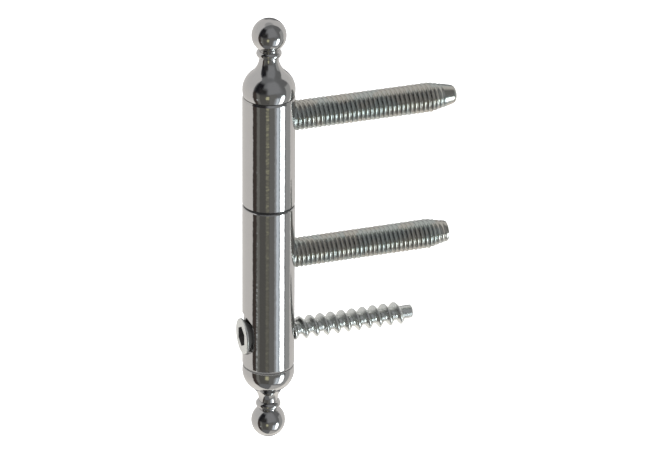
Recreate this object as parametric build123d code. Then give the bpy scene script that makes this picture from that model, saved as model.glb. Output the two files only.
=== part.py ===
from build123d import *
import math
import os

# Decorative screw-on hinge for a rebated timber door, in millimetres.
# +Z runs up the barrel and +X along the pegs, out of the barrel and into the wood.
# The origin is on the frame peg's axis, where that peg leaves the crown of the barrel.

# Barrel: two turned lengths of bar, one above the other, with a flanged bush between them
barrel_d = 14.0
leaf_barrel_len = 30.9
frame_barrel_len = 46.95
knuckle_chamfer = 0.2
rim_bevel_in = 0.2
rim_bevel_len = 0.6

# Pivot pin, pressed into the frame barrel, and the bush that the leaf barrel turns on
pin_d = 7.0
pin_end_wall = 0.75
pin_nose_len = 1.0
pin_nose_in = 0.8
bush_wall = 0.95
bush_flange_t = 0.6
bush_flange_inset = 0.2
bush_end_gap = 0.6
running_gap = 0.05
bore_end_gap = 0.9
bore_end_wall = 0.85

# Pegs: the cylinders are at the thread's outer diameter, M8, on both sides of a plain land
peg_d = 8.0
peg_seat_depth = 11.0
peg_root_chamfer = 0.5
peg_land_d = 7.6
peg_land_w = 1.5
peg_taper_angle = 13.3
frame_peg_reach = 43.3
frame_peg_tip_d = 5.5
leaf_peg_reach = 45.0
leaf_peg_tip_d = 5.1
leaf_peg_nose_len = 1.0
leaf_peg_nose_d = 3.3
frame_peg_drop = 15.5
leaf_peg_below_rim = 6.7

# Anchor screw, which crosses the frame barrel below its peg in an upright slot
screw_drop = 38.1
screw_reach = 33.75
screw_head_d = 9.7
screw_head_proud = 0.6
head_rim_h = 0.6
head_rim_round = 0.25
socket_across_flats = 5.0
socket_depth = 2.2
shank_d = 5.8
thread_d = 6.2
core_d = 3.6
thread_pitch = 3.0
ridge_root_w = 2.45
ridge_waist_w = 1.65
ridge_crest_w = 0.8
ridge_crest_round = 0.25
ridge_sink = 0.2
thread_start_in = 5.4
thread_stop_short = 2.4
thread_fade_len = 4.75
point_chamfer = 0.3
thread_gap = 0.2
head_gap = 0.15
slot_up = 1.6
slot_down = 0.1

# Finial: stub, swelling belly, waisted neck, ring and ball
stub_d = 6.0
stub_len = 2.2
stub_end_gap = 0.2
finial_base_inset = 0.2
seat_relief_in = 0.6
seat_relief_h = 0.2
belly_rise = 1.8
belly_round = 5.9
neck_d = 5.1
neck_rise = 11.1
ring_d = 6.7
ring_rise = 12.1
ring_round = 1.1
ball_d = 9.2
ball_rise = 17.15

# Places that follow from the sizes above
axis_x = -barrel_d / 2
seam_z = frame_peg_drop
leaf_base_z = seam_z + bush_flange_t / 2
frame_top_z = seam_z - bush_flange_t / 2
top_rim_z = leaf_base_z + leaf_barrel_len
bottom_rim_z = frame_top_z - frame_barrel_len
leaf_peg_z = top_rim_z - leaf_peg_below_rim
screw_z = seam_z - screw_drop
head_face_x = -barrel_d - screw_head_proud
screw_hole_r = thread_d / 2 + thread_gap
head_cone_h = (screw_head_d - shank_d) / 2
head_seat_x = head_face_x + head_rim_h + screw_head_d / 2 - screw_hole_r
bush_bore_r = pin_d / 2 + running_gap
bush_r = bush_bore_r + bush_wall
leaf_bore_depth = leaf_peg_z - peg_d / 2 - bore_end_wall - leaf_base_z
pin_free_len = leaf_bore_depth - bore_end_gap
pin_press_depth = frame_top_z - peg_d / 2 - pin_end_wall
pin_len = pin_press_depth + bush_flange_t + pin_free_len
finial_base_r = barrel_d / 2 - finial_base_inset
belly_r = barrel_d / 2

FROM_BASE = (Align.CENTER, Align.CENTER, Align.MIN)
ALONG_X = Rot(0, 90, 0)
UPSIDE_DOWN = Rot(180, 0, 0)


def turned(*edges):
    """Solid turned about Z from the closed outline that the edges make, x as radius and y as height."""
    return revolve(Plane.XZ * make_face(Curve() + edges), Axis.Z)


def rod(radius, length):
    """Plain round rod standing on its end."""
    return Cylinder(radius, length, align=FROM_BASE)


def cross_rod(radius, x_from, x_to, z):
    """Round rod lying along X at height z, for a hole across the barrel."""
    return Pos(x_from, 0, z) * ALONG_X * rod(radius, x_to - x_from)


def cross_slot(radius, x_from, x_to):
    """Round-ended upright slot along X, which leaves the screw its play up and down."""
    outline = SlotCenterToCenter(slot_up + slot_down, 2 * radius)
    middle_z = screw_z + (slot_up - slot_down) / 2
    return Pos(x_from, 0, middle_z) * ALONG_X * extrude(outline, x_to - x_from)


def half_barrel(length, bore_r, bore_depth):
    """Turned barrel with its knuckle end on z = 0: bored there, and socketed for a finial at its rim."""
    radius = barrel_d / 2
    outline = Polyline(
        (0, 0),
        (radius - knuckle_chamfer, 0),
        (radius, knuckle_chamfer),
        (radius, length - rim_bevel_len),
        (radius - rim_bevel_in, length),
        (0, length),
        close=True,
    )
    socket_depth_z = stub_len + stub_end_gap
    socket = Pos(0, 0, length - socket_depth_z) * rod(stub_d / 2, socket_depth_z)
    return turned(outline) - rod(bore_r, bore_depth) - socket


def leaf_barrel():
    """Upper barrel, fixed to the door leaf by its peg and dropped over the bush."""
    barrel = half_barrel(leaf_barrel_len, bush_r + running_gap, leaf_bore_depth)
    peg_hole = cross_rod(peg_d / 2, -peg_seat_depth, barrel_d, leaf_peg_z)
    return Pos(axis_x, 0, leaf_base_z) * barrel - peg_hole


def frame_barrel():
    """Lower barrel, fixed to the door frame by its peg and crossed by the anchor screw."""
    barrel = half_barrel(frame_barrel_len, pin_d / 2, pin_press_depth)
    peg_hole = cross_rod(peg_d / 2, -peg_seat_depth, barrel_d, 0)
    screw_slot = cross_slot(screw_hole_r, -2 * barrel_d, barrel_d)
    head_slot = cross_slot(screw_head_d / 2 + head_gap, -2 * barrel_d, head_seat_x)
    return Pos(axis_x, 0, frame_top_z) * UPSIDE_DOWN * barrel - peg_hole - screw_slot - head_slot


def pivot_pin():
    """Steel pin with a tapered nose that leads the leaf on when the door is hung."""
    radius = pin_d / 2
    outline = Polyline(
        (0, 0),
        (radius, 0),
        (radius, pin_len - pin_nose_len),
        (radius - pin_nose_in, pin_len),
        (0, pin_len),
        close=True,
    )
    return Pos(axis_x, 0, frame_top_z - pin_press_depth) * turned(outline)


def bearing_bush():
    """Sleeve on the pin, with a flange that keeps the two barrels apart."""
    flange = rod(barrel_d / 2 - bush_flange_inset, bush_flange_t)
    sleeve_len = bush_flange_t + pin_free_len - bush_end_gap - pin_nose_len
    bush = flange + rod(bush_r, sleeve_len) - rod(bush_bore_r, sleeve_len)
    return Pos(axis_x, 0, frame_top_z) * bush


def peg(reach, z, tip):
    """Peg along +X, with a plain land up to the crown of the barrel and a taper before its tip.

    tip is the list of edges from the taper's end to the axis.
    """
    length = peg_seat_depth + reach
    taper_end = tip[0] @ 0
    taper_len = (peg_d / 2 - taper_end.X) / math.tan(math.radians(peg_taper_angle))
    sides = Polyline(
        (0, length),
        (0, 0),
        (peg_d / 2 - peg_root_chamfer, 0),
        (peg_d / 2, peg_root_chamfer),
        (peg_d / 2, peg_seat_depth - peg_land_w),
        (peg_land_d / 2, peg_seat_depth - peg_land_w),
        (peg_land_d / 2, peg_seat_depth),
        (peg_d / 2, peg_seat_depth),
        (peg_d / 2, taper_end.Y - taper_len),
        (taper_end.X, taper_end.Y),
    )
    return Pos(-peg_seat_depth, 0, z) * ALONG_X * turned(sides, *tip)


def frame_peg():
    """Lower peg, with its taper cut off flat."""
    length = peg_seat_depth + frame_peg_reach
    return peg(frame_peg_reach, 0, [Line((frame_peg_tip_d / 2, length), (0, length))])


def leaf_peg():
    """Upper peg, its taper running into a rounded nose."""
    length = peg_seat_depth + leaf_peg_reach
    nose_start = (leaf_peg_tip_d / 2, length - leaf_peg_nose_len)
    nose_end = (leaf_peg_nose_d / 2, length)
    taper_slope = (-math.tan(math.radians(peg_taper_angle)), 1)
    nose = TangentArc(nose_start, nose_end, tangent=taper_slope)
    return peg(leaf_peg_reach, leaf_peg_z, [nose, Line(nose_end, (0, length))])


def thread_ridge(length):
    """Sharp coarse ridge wound right-handed round Z, hollow in its flanks and faded out at its end."""
    foot_r = core_d / 2 - ridge_sink
    height = thread_d / 2 - foot_r
    path = Helix(pitch=thread_pitch, height=length, radius=foot_r)
    section_plane = Plane(origin=path @ 0, x_dir=(1, 0, 0), z_dir=path % 0)
    flanks = Polyline(
        (height - ridge_crest_round, ridge_crest_w / 2),
        (height / 2, ridge_waist_w / 2),
        (0, ridge_root_w / 2),
        (0, -ridge_root_w / 2),
        (height / 2, -ridge_waist_w / 2),
        (height - ridge_crest_round, -ridge_crest_w / 2),
    )
    crest = ThreePointArc(flanks @ 1, (height, 0), flanks @ 0)
    section = make_face(Curve() + [flanks, crest])
    ridge = sweep(section_plane * section, path=path, is_frenet=True)
    return ridge - fade_collar(length)


def fade_collar(fade_end):
    """Ring that pares the last turn of the ridge down to the core, and all of it beyond fade_end."""
    outer_r = thread_d / 2 + ridge_sink
    return turned(
        Polyline(
            (core_d / 2, fade_end),
            (outer_r, fade_end - thread_fade_len),
            (outer_r, fade_end + thread_pitch),
            (0, fade_end + thread_pitch),
            (0, fade_end + ridge_root_w / 2),
            (core_d / 2, fade_end + ridge_root_w / 2),
            close=True,
        )
    )


def screw_head():
    """Head with a low softened rim, a cone under it and a hexagon socket, its face on z = 0."""
    rim = rod(screw_head_d / 2, head_rim_h)
    rim = fillet(rim.edges().sort_by(Axis.Z)[0], head_rim_round)
    cone = Cone(screw_head_d / 2, shank_d / 2, head_cone_h, align=FROM_BASE)
    head = rim + Pos(0, 0, head_rim_h) * cone
    hexagon = RegularPolygon(socket_across_flats / 2, 6, major_radius=False)
    return head - extrude(hexagon, socket_depth)


def screw_core(length):
    """Core of the screw from under its head to its plain pilot point, with a stouter shank at first."""
    shank_from = head_rim_h + head_cone_h
    shank_to = -head_face_x - thread_start_in
    return turned(
        Polyline(
            (0, shank_from),
            (shank_d / 2, shank_from),
            (shank_d / 2, shank_to),
            (core_d / 2, shank_to + (shank_d - core_d) / 2),
            (core_d / 2, length - point_chamfer),
            (core_d / 2 - point_chamfer, length),
            (0, length),
            close=True,
        )
    )


def anchor_screw():
    """Coarse-threaded screw that pins the frame barrel to the frame, seated in its counterbore."""
    length = screw_reach - head_face_x
    thread_start = -head_face_x - thread_start_in
    thread_len = length - thread_stop_short - thread_start
    ridge = Pos(0, 0, thread_start) * thread_ridge(thread_len)
    screw = screw_head() + screw_core(length) + ridge
    return Pos(head_face_x, 0, screw_z) * ALONG_X * screw


def finial():
    """Turned finial with its seat on z = 0: the belly and neck are one S-curve of two tangent arcs.

    A narrow relief beside the seat parts the belly from the barrel's rim.
    """
    inward = belly_r - neck_d / 2
    upward = neck_rise - belly_rise
    both_rounds = (inward**2 + upward**2) / (2 * inward)
    turn = math.degrees(math.acos(1 - inward / both_rounds))
    relief_r = finial_base_r - seat_relief_in
    seat = Polyline(
        (0, neck_rise),
        (0, 0),
        (relief_r, 0),
        (relief_r, seat_relief_h),
        (finial_base_r, seat_relief_h),
    )
    swell = TangentArc((belly_r, belly_rise), (finial_base_r, seat_relief_h), tangent=(0, -1))
    belly = JernArc((belly_r, belly_rise), (0, 1), belly_round, turn)
    neck = JernArc(belly @ 1, belly % 1, both_rounds - belly_round, -turn)
    close_neck = Line(neck @ 1, (0, neck_rise))
    body = turned(seat, swell, belly, neck, close_neck)
    stem = Pos(0, 0, -stub_len) * rod(stub_d / 2, stub_len)
    core = Pos(0, 0, neck_rise) * rod(neck_d / 2, ball_rise - neck_rise)
    ring = Pos(0, 0, ring_rise) * Torus(ring_d / 2 - ring_round, ring_round)
    ball = Pos(0, 0, ball_rise) * Sphere(ball_d / 2)
    return body + stem + core + ring + ball


def leaf_finial():
    """Finial on top of the leaf barrel."""
    return Pos(axis_x, 0, top_rim_z) * finial()


def frame_finial():
    """The same finial hanging from the frame barrel."""
    return Pos(axis_x, 0, bottom_rim_z) * UPSIDE_DOWN * finial()


NODES = [
    frame_barrel,
    frame_peg,
    pivot_pin,
    frame_finial,
    anchor_screw,
    bearing_bush,
    leaf_barrel,
    leaf_peg,
    leaf_finial,
]

os.makedirs("parts", exist_ok=True)
for node in NODES:
    export_step(node(), f"parts/{node.__name__}.step")
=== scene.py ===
"""Looks of a decorative screw-on hinge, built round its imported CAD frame.

The barrels and finials are bright plate, the two pegs and the anchor screw are zinc plated, and a black
bush shows as a line at the knuckle. The pegs get their threads here, with the pitch and diameter of M8
but less than half its depth. Lengths are in metres where no comment says otherwise.
"""

import math

import bmesh
import bpy
import numpy as np
from bpy.props import FloatProperty, FloatVectorProperty, IntProperty, PointerProperty
from mathutils import Matrix, Vector


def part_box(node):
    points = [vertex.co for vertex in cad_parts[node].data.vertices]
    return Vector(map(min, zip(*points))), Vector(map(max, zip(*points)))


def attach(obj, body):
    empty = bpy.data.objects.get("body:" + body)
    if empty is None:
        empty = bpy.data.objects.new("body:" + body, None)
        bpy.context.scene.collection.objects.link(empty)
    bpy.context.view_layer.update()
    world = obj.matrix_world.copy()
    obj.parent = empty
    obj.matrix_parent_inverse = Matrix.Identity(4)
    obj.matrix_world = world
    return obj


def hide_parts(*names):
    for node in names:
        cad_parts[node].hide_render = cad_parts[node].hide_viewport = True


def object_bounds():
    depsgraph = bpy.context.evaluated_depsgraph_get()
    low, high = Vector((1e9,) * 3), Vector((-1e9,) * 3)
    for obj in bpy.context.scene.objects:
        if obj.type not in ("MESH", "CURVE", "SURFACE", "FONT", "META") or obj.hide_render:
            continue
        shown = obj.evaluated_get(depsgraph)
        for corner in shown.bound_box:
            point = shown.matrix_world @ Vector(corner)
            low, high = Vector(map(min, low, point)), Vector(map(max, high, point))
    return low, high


bl_info = {
    "name": "Screw-on hinge looks",
    "version": (1, 0, 0),
    "blender": (4, 5, 0),
    "location": "3D View > Sidebar > Hinge",
    "description": "Threads, plated finishes and studio for a decorative screw-on hinge",
    "category": "Object",
}

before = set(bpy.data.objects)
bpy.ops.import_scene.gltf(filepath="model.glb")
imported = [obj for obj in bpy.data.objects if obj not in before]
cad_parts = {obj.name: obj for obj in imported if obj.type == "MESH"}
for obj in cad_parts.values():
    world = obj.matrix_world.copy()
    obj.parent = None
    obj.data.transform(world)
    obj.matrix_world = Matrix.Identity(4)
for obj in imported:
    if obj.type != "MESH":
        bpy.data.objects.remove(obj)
CAD_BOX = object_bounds()
MM = 0.001
BARREL_X = -7.0 * MM  # the barrels' and finials' upright axis, at y = 0
SCREW_Z = -22.6 * MM  # height of the anchor screw's level axis
MERGE_WITHIN = 1e-7  # points of a mesh that are closer than this become one
SHARP_FROM = math.radians(50)  # edges that turn by more than this stay sharp
PAINTED_SHADE = (0.03, 0.029, 0.028)  # colour of the shade painted into hollows and gaps
PAINTED_SHADE_ROUGHNESS = 0.45  # what full painted shade adds to the roughness of the metal
PIN_SHADES = ((0.50, 0.50, 0.51), (0.58, 0.58, 0.59))  # between which the ground pin varies


# Sizes and colours that a user would change


class ThreadSizes(bpy.types.PropertyGroup):
    """Thread of both pegs."""

    pitch: FloatProperty(
        name="Pitch",
        description="Distance along the peg from one crest to the next",
        default=1.25 * MM,
        unit="LENGTH",
        precision=5,
    )
    depth: FloatProperty(
        name="Depth",
        description="Depth of the thread before it is rounded, which takes a fifth off",
        default=0.44 * MM,
        unit="LENGTH",
        precision=5,
    )
    start: FloatProperty(
        name="Start",
        description="Where the thread begins, measured from the crown of the barrel",
        default=-0.9 * MM,
        unit="LENGTH",
        precision=5,
    )
    around: IntProperty(
        name="Columns",
        description="Columns of faces round a peg",
        default=96,
        min=24,
    )
    per_pitch: IntProperty(
        name="Rows a pitch",
        description="Rows of faces from one crest to the next",
        default=14,
        min=8,
    )


class FinishColours(bpy.types.PropertyGroup):
    """Colours and gloss of the plate, the zinc and the bush."""

    plate: FloatVectorProperty(
        name="Bright plate",
        description="Metal colour of the barrels and finials",
        subtype="COLOR",
        default=(0.56, 0.555, 0.55),
        min=0,
        max=1,
    )
    plate_roughness: FloatProperty(
        name="Barrel roughness",
        description="How far the barrels blur what they mirror",
        default=0.07,
        min=0,
        max=1,
    )
    finial_roughness: FloatProperty(
        name="Finial roughness",
        description="How far the hand-polished finials blur what they mirror",
        default=0.09,
        min=0,
        max=1,
    )
    peg_cool: FloatVectorProperty(
        name="Peg zinc, cool",
        description="Bluish side of the peg's passivated zinc",
        subtype="COLOR",
        default=(0.50, 0.535, 0.515),
        min=0,
        max=1,
    )
    peg_warm: FloatVectorProperty(
        name="Peg zinc, warm",
        description="Yellowish side of the peg's passivated zinc",
        subtype="COLOR",
        default=(0.54, 0.525, 0.48),
        min=0,
        max=1,
    )
    screw_zinc: FloatVectorProperty(
        name="Screw zinc",
        description="Metal colour of the anchor screw",
        subtype="COLOR",
        default=(0.76, 0.78, 0.76),
        min=0,
        max=1,
    )
    bush: FloatVectorProperty(
        name="Bush",
        description="Colour of the moulded bush",
        subtype="COLOR",
        default=(0.012, 0.012, 0.013),
        min=0,
        max=1,
    )


class StudioSettings(bpy.types.PropertyGroup):
    """Floor, camera and lamps."""

    distance: FloatProperty(
        name="Camera distance",
        description="From the camera to the point it looks at",
        default=1.26,
        unit="LENGTH",
    )
    azimuth: FloatProperty(
        name="Azimuth",
        description="Side that the camera stands on, 0 in front of the barrel",
        default=math.radians(-19.4),
        unit="ROTATION",
    )
    elevation: FloatProperty(
        name="Elevation",
        description="Height of the camera over the horizon",
        default=math.radians(25.49),
        unit="ROTATION",
    )
    floor_drop: FloatProperty(
        name="Floor drop",
        description="Depth of the floor below the lower finial",
        default=0.12,
        unit="LENGTH",
    )
    lamp_power: FloatProperty(
        name="Lamp power",
        description="Power of the larger lamp, in watts",
        default=9.0,
        min=0,
    )


# Node and mesh helpers


def node(tree, kind, links=None, **settings):
    """New shader node with its settings, and its inputs set to values or linked to sockets."""
    new = tree.nodes.new(kind)
    for key, value in settings.items():
        setattr(new, key, value)
    for key, value in (links or {}).items():
        if isinstance(value, bpy.types.NodeSocket):
            tree.links.new(value, new.inputs[key])
        else:
            new.inputs[key].default_value = value
    return new


def maths(tree, operation, a, b=0.0, clamp=False):
    """Socket of one Math node."""
    return node(tree, "ShaderNodeMath", {0: a, 1: b}, operation=operation, use_clamp=clamp).outputs[0]


def ramped(tree, value, low, high, out_low=0.0, out_high=1.0):
    """Socket that goes smoothly from out_low to out_high as value goes from low to high."""
    limits = {"Value": value, "From Min": low, "From Max": high, "To Min": out_low, "To Max": out_high}
    return node(tree, "ShaderNodeMapRange", limits, interpolation_type="SMOOTHSTEP").outputs["Result"]


def band(tree, value, low, high, soft):
    """Socket that is 1 where value lies between low and high, and 0 outside, with edges soft wide."""
    above = ramped(tree, value, low - soft / 2, low + soft / 2)
    below = ramped(tree, value, high - soft / 2, high + soft / 2, 1.0, 0.0)
    return maths(tree, "MULTIPLY", above, below)


def distance(tree, a, b):
    """Socket of the distance from the origin of a point at a and b along two axes."""
    squares = [maths(tree, "MULTIPLY", side, side) for side in (a, b)]
    return maths(tree, "SQRT", maths(tree, "ADD", *squares))


def mixed(tree, factor, a, b):
    """Socket of a colour that goes from a to b as factor goes from 0 to 1."""
    new = tree.nodes.new("ShaderNodeMix")
    new.data_type = "RGBA"
    for socket, value in zip((new.inputs[0], new.inputs[6], new.inputs[7]), (factor, a, b)):
        if isinstance(value, bpy.types.NodeSocket):
            tree.links.new(value, socket)
        elif socket.type == "RGBA":
            socket.default_value = (*value[:3], 1.0)
        else:
            socket.default_value = value
    return new.outputs[2]


def noise(tree, place, size, detail=2.0, roughness=0.5, stretch=(1.0, 1.0, 1.0)):
    """Noise whose features are about size metres across, stretched along the axes."""
    scale = tuple(1.0 / (size * s) for s in stretch)
    scaled = node(tree, "ShaderNodeVectorMath", {0: place, 1: scale}, operation="MULTIPLY")
    links = {"Vector": scaled.outputs[0], "Scale": 1.0, "Detail": detail, "Roughness": roughness}
    return node(tree, "ShaderNodeTexNoise", links).outputs["Fac"]


def spread(tree, grain, low, high):
    """Socket that goes from low to high over the usual values of a noise, 0.3 to 0.7."""
    return ramped(tree, grain, 0.3, 0.7, low, high)


def shaded(tree, factor, colour, low, high):
    """Colour socket that goes from low times the colour to high times the colour."""
    return mixed(tree, factor, [low * c for c in colour], [high * c for c in colour])


def relief(tree, height, metres):
    """Bump of a height that runs from 0 to 1 over the given metres."""
    links = {"Height": height, "Strength": 1.0, "Distance": metres}
    return node(tree, "ShaderNodeBump", links).outputs["Normal"]


def paint_shade(tree, shader, inside, tint, rough):
    """Metal with the given tint and roughness, with painted shade, dark and matt, where inside is 1."""
    tree.links.new(mixed(tree, inside, tint, PAINTED_SHADE), shader.inputs["Base Color"])
    tree.links.new(maths(tree, "SUBTRACT", 1.0, inside), shader.inputs["Metallic"])
    over = maths(tree, "MULTIPLY", inside, PAINTED_SHADE_ROUGHNESS)
    tree.links.new(maths(tree, "ADD", rough, over, clamp=True), shader.inputs["Roughness"])


def blank_material(name):
    """Empty node material, with its tree, its shader and its Object coordinates."""
    material = bpy.data.materials.new(name)
    material.use_nodes = True
    tree = material.node_tree
    tree.nodes.clear()
    shader = tree.nodes.new("ShaderNodeBsdfPrincipled")
    output = tree.nodes.new("ShaderNodeOutputMaterial")
    tree.links.new(shader.outputs["BSDF"], output.inputs["Surface"])
    place = tree.nodes.new("ShaderNodeTexCoord").outputs["Object"]
    return material, tree, shader, place


def dress(cad_node, material):
    """Gives a CAD node its material."""
    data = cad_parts[cad_node].data
    data.materials.clear()
    data.materials.append(material)


def surface(name, points, faces):
    """Mesh object from arrays of points and faces, doubles merged, smooth but for sharp edges."""
    mesh = bpy.data.meshes.new(name)
    mesh.from_pydata(points, [], faces)
    work = bmesh.new()
    work.from_mesh(mesh)
    bmesh.ops.remove_doubles(work, verts=work.verts, dist=MERGE_WITHIN)
    work.to_mesh(mesh)
    work.free()
    mesh.validate()
    mesh.shade_smooth()
    mesh.set_sharp_from_angle(angle=SHARP_FROM)
    piece = bpy.data.objects.new(name, mesh)
    bpy.context.scene.collection.objects.link(piece)
    return piece


# Threaded pegs: how far the thread stops before the end, and the outline from the taper's start on, each
# point as its distance back from the end and its radius, all in millimetres

LEAF_NOSE = ((0.73, 2.456), (0.48, 2.306), (0.28, 2.124), (0.11, 1.888), (0.0, 1.65))  # its round edge
PEG_ENDS = {
    "frame_peg": (0.5, ((5.29, 4.0), (0.15, 2.79), (0.05, 2.75), (0.0, 2.66))),
    "leaf_peg": (3.3, ((7.13, 4.0), (1.0, 2.55), *LEAF_NOSE)),
}
PEG_CHAMFER = 0.5 * MM  # on the end that is inside the barrel
GROOVE_X = 0.2 * MM  # where a groove crosses the side of the peg that faces +Y
WAVE_TOP = 1.35  # of the thread's triangle wave, where 1 would make crests as wide as grooves
CLIP_HARDNESS = 1.2  # how sharply the wave is then clipped
END_DEPTH = 0.4  # share of the thread's depth that is left where the thread ends
SPARE_PITCHES = 3  # pitches of rows beyond the peg's length, half of them before its start


def thread_height(phase):
    """Height of a rolled thread at a phase in turns, 1 on its crest and about 0.15 in its groove.

    The crest is at a phase of 0.5. A triangle wave, which falls by 2 from crest to groove and is raised
    to widen the crest, is pushed through a smooth clip, which rounds crest and groove and leaves the
    flanks nearly straight between them.
    """
    wave = WAVE_TOP - 4.0 * np.abs(phase - np.floor(phase) - 0.5)
    return 0.5 + 0.5 * np.tanh(CLIP_HARDNESS * wave) / math.tanh(WAVE_TOP * CLIP_HARDNESS)


def threaded_peg(name, ends, axis_z, outline, thread):
    """Peg along +X whose surface is a turned outline with a right-handed helical groove cut into it.

    The grid runs along the helix: row u, in pitches from the start, and column a lie at
    x = start + pitch * (u + a / 2 pi), held between the peg's two ends, so crest lines follow the rows.
    The radius there is the outline's radius less the thread's depth below its crests. thread is (from,
    taper, to): the groove comes in over half a pitch, grows shallower from the taper on and goes out
    over half a pitch. Column 0 of a row meets the last column of the row one pitch back. The first and
    the last row have no radius and close the ends.
    """
    sizes = bpy.context.scene.hinge_thread
    around, per_pitch, pitch = sizes.around, sizes.per_pitch, sizes.pitch
    start, end = ends
    rows = int(math.ceil((end - start) / pitch + SPARE_PITCHES)) * per_pitch
    turn = np.arange(around) / around
    along = (np.arange(rows) - SPARE_PITCHES / 2 * per_pitch) / per_pitch
    x = np.clip(start + pitch * (along[:, None] + turn[None, :]), start, end)
    radius = np.interp(x, outline[0], outline[1])
    height = thread_height((x - GROOVE_X) / pitch - turn[None, :])
    fade_in = np.clip((x - thread[0]) / (0.5 * pitch), 0, 1)
    fade_out = np.clip((thread[2] - x) / (0.5 * pitch), 0, 1)
    shallower = np.interp(x, [thread[1], thread[2]], [1.0, END_DEPTH])
    radius = radius - sizes.depth * (1 - height) * np.minimum(fade_in, fade_out) * shallower
    radius[0] = 0
    radius[-1] = 0
    angle = 2 * math.pi * turn[None, :]
    points = np.stack([x, radius * np.cos(angle), axis_z + radius * np.sin(angle)], axis=-1)
    row, column = np.meshgrid(np.arange(rows - 1), np.arange(around), indexing="ij")
    wraps = (column == around - 1).astype(int)
    far_row = row + wraps * per_pitch
    far_column = (column + 1) % around
    last = rows - 1
    corners = [
        row * around + column,
        np.minimum(far_row, last) * around + far_column,
        np.minimum(far_row + 1, last) * around + far_column,
        (row + 1) * around + column,
    ]
    faces = np.stack(corners, axis=-1).reshape(-1, 4)
    return surface(name, points.reshape(-1, 3), faces.tolist())


# Operators


class HINGE_OT_pegs(bpy.types.Operator):
    """Builds the two threaded pegs in place of the plain ones"""

    bl_idname = "hinge.pegs"
    bl_label = "Threaded pegs"

    def execute(self, context):
        sizes = context.scene.hinge_thread
        material = zinc_peg()
        for cad_node, (stop_short, ending) in PEG_ENDS.items():
            low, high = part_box(cad_node)
            radius = (high.z - low.z) / 2
            xs = [low.x, low.x + PEG_CHAMFER] + [high.x - back * MM for back, _ in ending]
            radii = [radius - PEG_CHAMFER, radius] + [r * MM for _, r in ending]
            taper_start, thread_end = xs[2], high.x - stop_short * MM
            peg = threaded_peg(
                f"{cad_node}_threaded",
                (low.x, high.x),
                (low.z + high.z) / 2,
                (xs, radii),
                (sizes.start, taper_start, thread_end),
            )
            peg.data.materials.append(material)
            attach(peg, "frame_half" if cad_node == "frame_peg" else "leaf_half")
            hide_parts(cad_node)
        return {"FINISHED"}


def zinc_peg():
    """Passivated zinc, finely grained, that goes from bluish to yellowish in slow patches."""
    colours = bpy.context.scene.hinge_finish
    material, tree, shader, place = blank_material("peg_zinc")
    patches = noise(tree, place, 5 * MM)
    tint = mixed(tree, ramped(tree, patches, 0.4, 0.6), colours.peg_cool, colours.peg_warm)
    tree.links.new(tint, shader.inputs["Base Color"])
    grain = noise(tree, place, 1.5 * MM)
    tree.links.new(spread(tree, grain, 0.23, 0.27), shader.inputs["Roughness"])
    shader.inputs["Metallic"].default_value = 1.0
    return material


class HINGE_OT_plate(bpy.types.Operator):
    """Gives the barrels and finials their bright plate"""

    bl_idname = "hinge.plate"
    bl_label = "Bright plate"

    def execute(self, context):
        colours = context.scene.hinge_finish
        barrel_plate = bright_plate("barrel_plate", colours.plate_roughness)
        finial_plate = bright_plate("finial_plate", colours.finial_roughness)
        for half in ("frame", "leaf"):
            dress(f"{half}_barrel", barrel_plate)
            dress(f"{half}_finial", finial_plate)
        return {"FINISHED"}


def bright_plate(name, base):
    """Polished plate of the given roughness, with slight haze, smears and ripple."""
    colours = bpy.context.scene.hinge_finish
    material, tree, shader, place = blank_material(name)
    tint = shaded(tree, noise(tree, place, 5 * MM), colours.plate, 0.97, 1.03)
    smear = noise(tree, place, 1.2 * MM, detail=3.0)
    rough = spread(tree, smear, 0.75 * base, 1.3 * base)
    # painted shade in the screw's slot and at the finials' seats
    paint_shade(tree, shader, plate_painted_shade(tree, place), tint, rough)
    ripple = noise(tree, place, 2.2 * MM, detail=1.5, stretch=(1.0, 1.0, 0.7))
    tree.links.new(relief(tree, ripple, 0.03 * MM), shader.inputs["Normal"])
    return material


# Where shade is painted into gaps and hollows. A span is its two ends and the softness of both. A pair
# of radii, from the axis of the barrel or of the screw, is where the painted shade starts to fade
# outwards and where it is gone

SLOT = (SCREW_Z - 3.2 * MM, SCREW_Z + 3.4 * MM, 1.4 * MM)  # along Z
SLOT_RADII = (6.6 * MM, 6.95 * MM)
UPPER_SEAT = (-0.3 * MM, 0.3 * MM, 0.1 * MM)  # along Z from the leaf barrel's upper rim
UPPER_SEAT_RADII = (6.55 * MM, 6.7 * MM)
LOWER_SEAT = (-0.35 * MM, 0.45 * MM, 0.3 * MM)  # along Z from the frame barrel's lower rim
# strength of the painted shade at the lower seat
LOWER_SEAT_PAINTED_SHADE = 0.6
SHANK_FROM_FACE = 0.4 * MM  # the shank's span starts so far behind the face of the head
SHANK_END_X = BARREL_X + 5.5 * MM
SHANK_SOFT = 0.3 * MM
SHANK_Z = (SCREW_Z - 4.5 * MM, SCREW_Z - 1 * MM)  # over which its painted shade grows upwards
# strength of the painted shade under the head, at the bottom and at the top of that span
SHANK_PAINTED_SHADE = (0.35, 0.92)
HEXAGON = (0.1 * MM, 3 * MM, 0.1 * MM)  # along X from the face of the head
HEXAGON_RADII = (2.92 * MM, 2.98 * MM)


def span_from(tree, value, origin, span):
    """Band over a span that is measured from an origin."""
    low, high, soft = span
    return band(tree, value, origin + low, origin + high, soft)


def within(tree, mask, radius, radii):
    """The mask, faded out from the first of the radii to the second."""
    return maths(tree, "MULTIPLY", mask, ramped(tree, radius, *radii, 1.0, 0.0))


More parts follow.
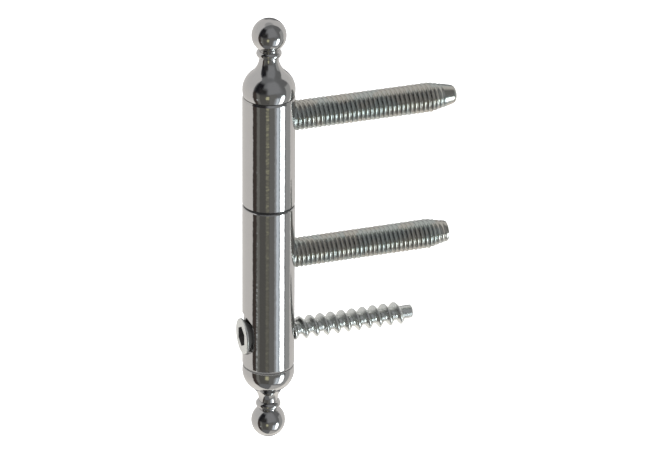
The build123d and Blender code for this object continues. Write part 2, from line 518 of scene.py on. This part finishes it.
def plate_painted_shade(tree, place):
    """Socket of the painted shade, 1 in the screw's slot and the upper finial's seat, and less at the
    lower seat.
    """
    x, y, z = node(tree, "ShaderNodeSeparateXYZ", {0: place}).outputs
    radius = distance(tree, maths(tree, "SUBTRACT", x, BARREL_X), y)
    slot = within(tree, band(tree, z, *SLOT), radius, SLOT_RADII)
    upper_seat = span_from(tree, z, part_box("leaf_barrel")[1].z, UPPER_SEAT)
    upper_seat = within(tree, upper_seat, radius, UPPER_SEAT_RADII)
    lower_seat = span_from(tree, z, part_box("frame_barrel")[0].z, LOWER_SEAT)
    lower_seat = maths(tree, "MULTIPLY", lower_seat, LOWER_SEAT_PAINTED_SHADE)
    return maths(tree, "MAXIMUM", maths(tree, "MAXIMUM", slot, lower_seat), upper_seat)


class HINGE_OT_screw(bpy.types.Operator):
    """Gives the anchor screw its satin zinc"""

    bl_idname = "hinge.screw"
    bl_label = "Anchor screw"

    def execute(self, context):
        colours = context.scene.hinge_finish
        material, tree, shader, place = blank_material("screw_zinc")
        tint = shaded(tree, noise(tree, place, 4 * MM), colours.screw_zinc, 0.94, 1.05)
        grain = noise(tree, place, 0.6 * MM)
        # painted shade in the screw's hexagon and under its head, down into the barrel
        paint_shade(tree, shader, screw_painted_shade(tree, place), tint, spread(tree, grain, 0.26, 0.34))
        tree.links.new(relief(tree, grain, 0.004 * MM), shader.inputs["Normal"])
        dress("anchor_screw", material)
        return {"FINISHED"}


def screw_painted_shade(tree, place):
    """Socket of the painted shade, 1 in the screw's hexagon, and lower from the head's underside into
    the barrel.
    """
    x, y, z = node(tree, "ShaderNodeSeparateXYZ", {0: place}).outputs
    face_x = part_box("anchor_screw")[0].x
    shank = band(tree, x, face_x + SHANK_FROM_FACE, SHANK_END_X, SHANK_SOFT)
    shank = maths(tree, "MULTIPLY", shank, ramped(tree, z, *SHANK_Z, *SHANK_PAINTED_SHADE))
    off_axis = distance(tree, y, maths(tree, "SUBTRACT", z, SCREW_Z))
    hexagon = within(tree, span_from(tree, x, face_x, HEXAGON), off_axis, HEXAGON_RADII)
    return maths(tree, "MAXIMUM", shank, hexagon)


class HINGE_OT_bearing(bpy.types.Operator):
    """Finishes the black bush and the steel pin"""

    bl_idname = "hinge.bearing"
    bl_label = "Bush and pin"

    def execute(self, context):
        colours = context.scene.hinge_finish
        material, tree, shader, place = blank_material("bush_black")
        grain = noise(tree, place, 0.25 * MM, detail=3.0, roughness=0.6)
        tree.links.new(shaded(tree, grain, colours.bush, 0.8, 1.3), shader.inputs["Base Color"])
        tree.links.new(spread(tree, grain, 0.45, 0.62), shader.inputs["Roughness"])
        tree.links.new(relief(tree, grain, 0.008 * MM), shader.inputs["Normal"])
        dress("bearing_bush", material)
        material, tree, shader, place = blank_material("pin_steel_ground")
        rings = noise(tree, place, 0.3 * MM, detail=3.0, roughness=0.6, stretch=(20.0, 20.0, 0.5))
        tree.links.new(mixed(tree, rings, *PIN_SHADES), shader.inputs["Base Color"])
        tree.links.new(spread(tree, rings, 0.16, 0.3), shader.inputs["Roughness"])
        tree.links.new(relief(tree, rings, 0.004 * MM), shader.inputs["Normal"])
        shader.inputs["Metallic"].default_value = 1.0
        dress("pivot_pin", material)
        return {"FINISHED"}


# Studio. The metal mirrors a paper that changes with elevation, and patches of a room laid over it.
# Azimuth counts from the camera's side to its right and elevation from the horizon, both in degrees

PAPER = (  # elevation and the colour there, from below to above
    (-62, (1.06, 1.02, 0.96)),
    (-20, (0.79, 0.765, 0.74)),
    (30, (0.70, 0.69, 0.68)),
)
SURROUND = (  # azimuth from, to and softness, elevation from, to and softness, colour
    (-200, 200, 4, 66, 100, 14, (0.45, 0.45, 0.45)),  # the ceiling, all round
    (-72, 107, 4, -100, 100, 8, (0.20, 0.205, 0.21)),  # the dim room in front of the paper
    (-12, 58, 26, 4, 66, 18, (0.30, 0.305, 0.315)),  # a paler stretch of its wall
    (64, 106, 16, 6, 60, 16, (0.18, 0.183, 0.185)),  # and a dimmer one on the right
    (-72, 35, 4, -50, 0, 10, (0.125, 0.122, 0.113)),  # its darker lower part
    (4, 35, 6, -50, 0, 10, (0.20, 0.198, 0.19)),  # which is less dark beside the window
    (-71, -54, 1.5, -60, 10, 8, (0.072, 0.058, 0.051)),  # a brown edge on the left
    (-51, -39, 2.5, -45, 5, 6, (0.22, 0.217, 0.20)),  # a pale strip beside it
    (-55, -48, 2, -30.5, -27.3, 3, (0.74, 0.78, 0.78)),  # and a small bright gap between them
    (-66, -26, 12, 4, 56, 14, (0.015, 0.015, 0.018)),  # the black form over them
    (-44, -6, 20, 0, 30, 22, (0.035, 0.034, 0.034)),  # and its sloping side
    (-11, 2, 4, -40, -10, 6, (0.150, 0.146, 0.128)),  # a warm glow on the wall
    (-11, 2, 4, -27, -10, 6, (0.205, 0.20, 0.165)),  # its stronger upper part
    (-11, 2, 7, -23, -8, 5, (0.66, 0.64, 0.42)),  # and the small yellowish lamp that gives it
    (80, 107, 4, -60, 20, 8, (0.43, 0.435, 0.43)),  # the grey side wall
    (20, 107, 10, -95, -58, 12, (0.62, 0.61, 0.59)),  # the table's edge under it
    (27, 36, 5, -50, -18, 6, (0.40, 0.41, 0.425)),  # the window's margin
    (35, 75, 4, -50, -18, 7, (0.85, 0.93, 1.0)),  # its panes
    (52, 74.5, 3, -50, -18, 7, (2.0, 2.03, 2.06)),  # the brighter one of them
    (57, 69, 4, -38, -14, 9, (10.0, 11.2, 11.4)),  # the sky in it
    (46, 50, 1.2, -46, -16, 3, (0.40, 0.45, 0.49)),  # and the bar beside it
    (162, 200, 6, -60, 30, 16, (0.22, 0.22, 0.225)),  # a dim opening behind, in two halves
    (-200, -168, 6, -60, 30, 16, (0.22, 0.22, 0.225)),
)
SOFT_SURROUND = 0.75  # brightness of the even surround that lights what isn't glossy
FLOOR_RADIUS = 2.5
FLOOR_SIDES = 96
FLOOR_COLOUR = (0.88, 0.88, 0.88, 1)
FLOOR_GLOW = 0.62  # added for the camera, so that the floor shows white and only its shadow is seen
LAMPS = (  # name, place, width and share of the lamp power
    ("key_lamp", (-0.5, -0.6, 0.9), 0.7, 1.0),
    ("fill_lamp", (0.8, -0.3, 0.5), 0.6, 0.4),
)
WHITE = (1, 1, 1, 1)
LENS = 263.55  # millimetres, with a sensor 36 mm wide
CAMERA_AIM = (7.09 * MM, -4.96 * MM, 9.33 * MM)  # point at the middle of the picture
CAMERA_ROLL = math.radians(0.454)  # turn about the line of sight
CAMERA_SEES = (0.05, 50.0)  # nearest and farthest distance


def studio_world(azimuth):
    """World that is white to the camera, pale to soft surfaces, and a patterned room to metal.

    Each patch of the room is a box in azimuth and elevation with smooth edges, laid over those before.
    """
    world = bpy.data.worlds.new("studio")
    bpy.context.scene.world = world
    world.use_nodes = True
    tree = world.node_tree
    tree.nodes.clear()
    toward = tree.nodes.new("ShaderNodeTexCoord").outputs["Generated"]
    upward = node(tree, "ShaderNodeSeparateXYZ", {0: toward}).outputs[2]
    to_right = (math.cos(azimuth), math.sin(azimuth), 0.0)
    to_camera = (math.sin(azimuth), -math.cos(azimuth), 0.0)
    sides = [
        node(tree, "ShaderNodeVectorMath", {0: toward, 1: axis}, operation="DOT_PRODUCT").outputs[1]
        for axis in (to_right, to_camera)
    ]
    turn = maths(tree, "MULTIPLY", maths(tree, "ARCTAN2", *sides), math.degrees(1))
    rise = maths(tree, "MULTIPLY", maths(tree, "ARCSINE", upward), math.degrees(1))
    colour = PAPER[0][1]
    for (low, _), (high, above) in zip(PAPER, PAPER[1:]):
        colour = mixed(tree, ramped(tree, rise, low, high), colour, above)
    for az0, az1, az_soft, el0, el1, el_soft, patch in SURROUND:
        beside = band(tree, turn, az0, az1, az_soft)
        over = ramped(tree, rise, el0 - el_soft / 2, el0 + el_soft / 2)
        under = ramped(tree, rise, el1 - el_soft / 2, el1 + el_soft / 2, 1.0, 0.0)
        factor = maths(tree, "MULTIPLY", maths(tree, "MULTIPLY", beside, over), under)
        colour = mixed(tree, factor, colour, patch)
    path = tree.nodes.new("ShaderNodeLightPath").outputs
    room = node(tree, "ShaderNodeBackground", {"Color": colour, "Strength": 1.0}).outputs[0]
    pale = node(tree, "ShaderNodeBackground", {"Color": WHITE, "Strength": SOFT_SURROUND}).outputs[0]
    white = node(tree, "ShaderNodeBackground", {"Color": WHITE, "Strength": 1.0}).outputs[0]
    shown = node(tree, "ShaderNodeMixShader", {0: path["Is Glossy Ray"], 1: pale, 2: room}).outputs[0]
    seen_through = maths(tree, "MAXIMUM", path["Is Camera Ray"], path["Is Transmission Ray"])
    shown = node(tree, "ShaderNodeMixShader", {0: seen_through, 1: shown, 2: white}).outputs[0]
    node(tree, "ShaderNodeOutputWorld", {"Surface": shown})


def pale_floor(height):
    """Large pale disc that keeps the object's shadow, and that is clear to metal and from below."""
    ring = np.linspace(0, 2 * math.pi, FLOOR_SIDES, endpoint=False)
    level = np.full(FLOOR_SIDES, height)
    points = np.stack([FLOOR_RADIUS * np.cos(ring), FLOOR_RADIUS * np.sin(ring), level], axis=-1)
    mesh = bpy.data.meshes.new("floor")
    mesh.from_pydata(points, [], [list(range(FLOOR_SIDES))])
    floor = bpy.data.objects.new("floor", mesh)
    bpy.context.scene.collection.objects.link(floor)
    material = bpy.data.materials.new("floor_paper")
    material.use_nodes = True
    tree = material.node_tree
    tree.nodes.clear()
    path = tree.nodes.new("ShaderNodeLightPath").outputs
    paper = node(tree, "ShaderNodeBsdfDiffuse", {"Color": FLOOR_COLOUR}).outputs[0]
    glow = node(tree, "ShaderNodeEmission", {"Color": WHITE, "Strength": FLOOR_GLOW}).outputs[0]
    lit = node(tree, "ShaderNodeAddShader", {0: paper, 1: glow}).outputs[0]
    clear = node(tree, "ShaderNodeBsdfTransparent").outputs[0]
    shown = node(tree, "ShaderNodeMixShader", {0: path["Is Camera Ray"], 1: paper, 2: lit}).outputs[0]
    underside = tree.nodes.new("ShaderNodeNewGeometry").outputs["Backfacing"]
    open_to = maths(tree, "MAXIMUM", path["Is Glossy Ray"], underside)
    shown = node(tree, "ShaderNodeMixShader", {0: open_to, 1: shown, 2: clear}).outputs[0]
    node(tree, "ShaderNodeOutputMaterial", {"Surface": shown})
    mesh.materials.append(material)


def soft_lamp(name, place, width, power):
    """Square area lamp aimed at the origin, which lights soft surfaces and isn't mirrored by metal."""
    data = bpy.data.lights.new(name, "AREA")
    data.size = width
    data.energy = power
    lamp = bpy.data.objects.new(name, data)
    bpy.context.scene.collection.objects.link(lamp)
    lamp.location = place
    lamp.rotation_mode = "QUATERNION"
    lamp.rotation_quaternion = (-Vector(place)).to_track_quat("-Z", "Y")
    lamp.visible_glossy = False


def photo_camera(settings):
    """Camera that stands where the photograph was taken from."""
    data = bpy.data.cameras.new("camera")
    data.sensor_width = 36.0
    data.lens = LENS
    data.clip_start, data.clip_end = CAMERA_SEES
    camera = bpy.data.objects.new("camera", data)
    bpy.context.scene.collection.objects.link(camera)
    a, e = settings.azimuth, settings.elevation
    back = Vector((math.sin(a) * math.cos(e), -math.cos(a) * math.cos(e), math.sin(e)))
    camera.location = Vector(CAMERA_AIM) + settings.distance * back
    camera.rotation_mode = "QUATERNION"
    facing = (-back).to_track_quat("-Z", "Y")
    camera.rotation_quaternion = facing @ Matrix.Rotation(CAMERA_ROLL, 3, "Z").to_quaternion()
    bpy.context.scene.camera = camera


class HINGE_OT_studio(bpy.types.Operator):
    """Sets up the floor, the room that the metal mirrors, the lamps and the camera"""

    bl_idname = "hinge.studio"
    bl_label = "Studio"

    def execute(self, context):
        settings = context.scene.hinge_studio
        context.scene.view_settings.view_transform = "Standard"
        studio_world(settings.azimuth)
        pale_floor(CAD_BOX[0].z - settings.floor_drop)
        for name, place, width, share in LAMPS:
            soft_lamp(name, place, width, share * settings.lamp_power)
        photo_camera(settings)
        return {"FINISHED"}


class HINGE_PT_sidebar(bpy.types.Panel):
    """Sidebar panel that lists the hinge's operators and settings"""

    bl_label = "Screw-on hinge"
    bl_idname = "HINGE_PT_sidebar"
    bl_space_type = "VIEW_3D"
    bl_region_type = "UI"
    bl_category = "Hinge"

    def draw(self, context):
        for name in STEPS:
            self.layout.operator(f"hinge.{name}")
        for group in GROUPS:
            settings = getattr(context.scene, group)
            for prop in settings.__annotations__:
                self.layout.prop(settings, prop)


STEPS = ("pegs", "plate", "screw", "bearing", "studio")
GROUPS = {"hinge_thread": ThreadSizes, "hinge_finish": FinishColours, "hinge_studio": StudioSettings}
CLASSES = (
    *GROUPS.values(),
    HINGE_OT_pegs,
    HINGE_OT_plate,
    HINGE_OT_screw,
    HINGE_OT_bearing,
    HINGE_OT_studio,
    HINGE_PT_sidebar,
)


def register():
    for cls in CLASSES:
        bpy.utils.register_class(cls)
    for name, group in GROUPS.items():
        setattr(bpy.types.Scene, name, PointerProperty(type=group))


def unregister():
    for name in GROUPS:
        delattr(bpy.types.Scene, name)
    for cls in reversed(CLASSES):
        bpy.utils.unregister_class(cls)


def main():
    register()
    for name in STEPS:
        getattr(bpy.ops.hinge, name)()


if __name__ == "__main__":
    main()
